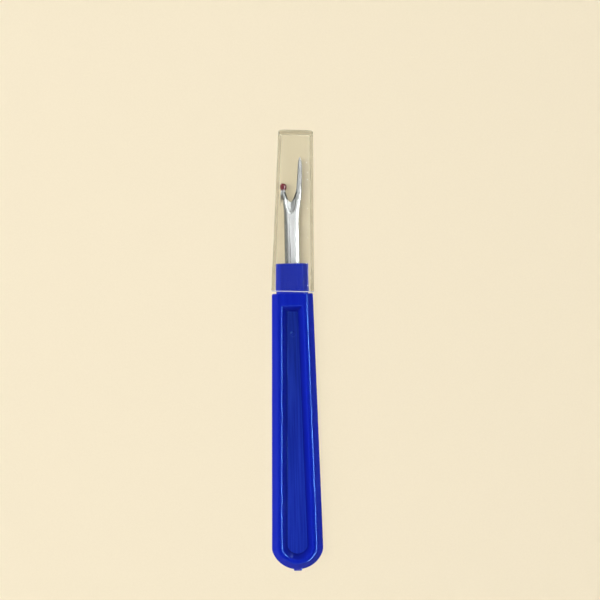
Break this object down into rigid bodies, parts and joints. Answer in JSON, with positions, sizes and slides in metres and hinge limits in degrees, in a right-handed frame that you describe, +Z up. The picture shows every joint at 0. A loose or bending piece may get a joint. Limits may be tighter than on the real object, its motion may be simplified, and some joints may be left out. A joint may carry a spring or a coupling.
{
  "type": "seam ripper",
  "caption": "Hand seam ripper with a tapered recessed plastic handle, a forked steel blade with a safety bead, and a clear push-on cap.",
  "frame": {"origin": "middle of the footprint, on the table that the tool lies on", "axes": "+Y along the tool from the butt of the handle to the closed end of the cap, +Z up through its thickness, +X across its width"},
  "size_m": [0.0162, 0.1386, 0.01],
  "materials": {
    "handle_plastic": "moulded gloss",
    "blade_steel": "ground and polished",
    "bead_plastic": "moulded gloss",
    "clear_plastic": "clear moulded plastic"
  },
  "bodies": {
    "handle": {"handle": "handle_plastic", "blade": "blade_steel", "safety_ball": "bead_plastic"},
    "cap": {"cap": "clear_plastic"}
  },
  "joints": [
    {"name": "cap_slide", "type": "slide", "parent": "handle", "child": "cap", "axis": [0.0384, 0.9993, 0], "range_m": [0, 0.055]}
  ]
}
